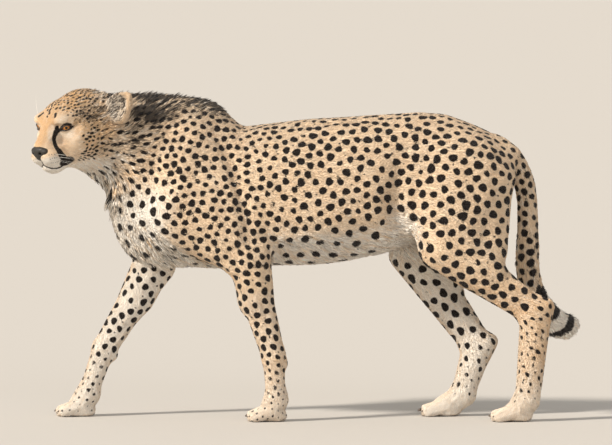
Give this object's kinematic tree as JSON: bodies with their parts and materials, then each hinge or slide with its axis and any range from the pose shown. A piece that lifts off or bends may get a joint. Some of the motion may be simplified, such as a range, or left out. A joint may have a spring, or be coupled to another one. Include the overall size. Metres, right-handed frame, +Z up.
{
  "type": "cheetah",
  "caption": "Walking cheetah, whole animal in mid-stride with its head turned to one side, long low-hanging tail, set as a still figure on its paws.",
  "frame": {"origin": "middle of the animal's box, on the floor under the belly", "axes": "+Z up, the animal faces -X, its left side is towards -Y"},
  "size_m": [1.257, 0.2738, 0.7593],
  "materials": {
    "coat": "short fur, tawny with solid black spots",
    "eye": "wet, amber iris",
    "nose_leather": "black, damp",
    "claw": "dull horn"
  },
  "bodies": {
    "root": {"head": "coat", "left_ear": "coat", "left_eye": "eye", "left_foreleg_forearm": "coat", "left_foreleg_paw": "coat", "left_foreleg_paw_claw_1": "claw", "left_foreleg_paw_claw_2": "claw", "left_foreleg_paw_claw_3": "claw", "left_foreleg_paw_claw_4": "claw", "left_foreleg_upper_arm": "coat", "left_foreleg_wrist": "coat", "left_hindleg_hind_foot": "coat", "left_hindleg_paw": "coat", "left_hindleg_paw_claw_1": "claw", "left_hindleg_paw_claw_2": "claw", "left_hindleg_paw_claw_3": "claw", "left_hindleg_paw_claw_4": "claw", "left_hindleg_shank": "coat", "left_hindleg_thigh": "coat", "neck": "coat", "nose": "nose_leather", "right_ear": "coat", "right_eye": "eye", "right_foreleg_forearm": "coat", "right_foreleg_paw": "coat", "right_foreleg_paw_claw_1": "claw", "right_foreleg_paw_claw_2": "claw", "right_foreleg_paw_claw_3": "claw", "right_foreleg_paw_claw_4": "claw", "right_foreleg_upper_arm": "coat", "right_foreleg_wrist": "coat", "right_hindleg_hind_foot": "coat", "right_hindleg_paw": "coat", "right_hindleg_paw_claw_1": "claw", "right_hindleg_paw_claw_2": "claw", "right_hindleg_paw_claw_3": "claw", "right_hindleg_paw_claw_4": "claw", "right_hindleg_shank": "coat", "right_hindleg_thigh": "coat", "tail_base": "coat", "tail_middle": "coat", "tail_tip": "coat", "trunk": "coat"}
  },
  "joints": []
}
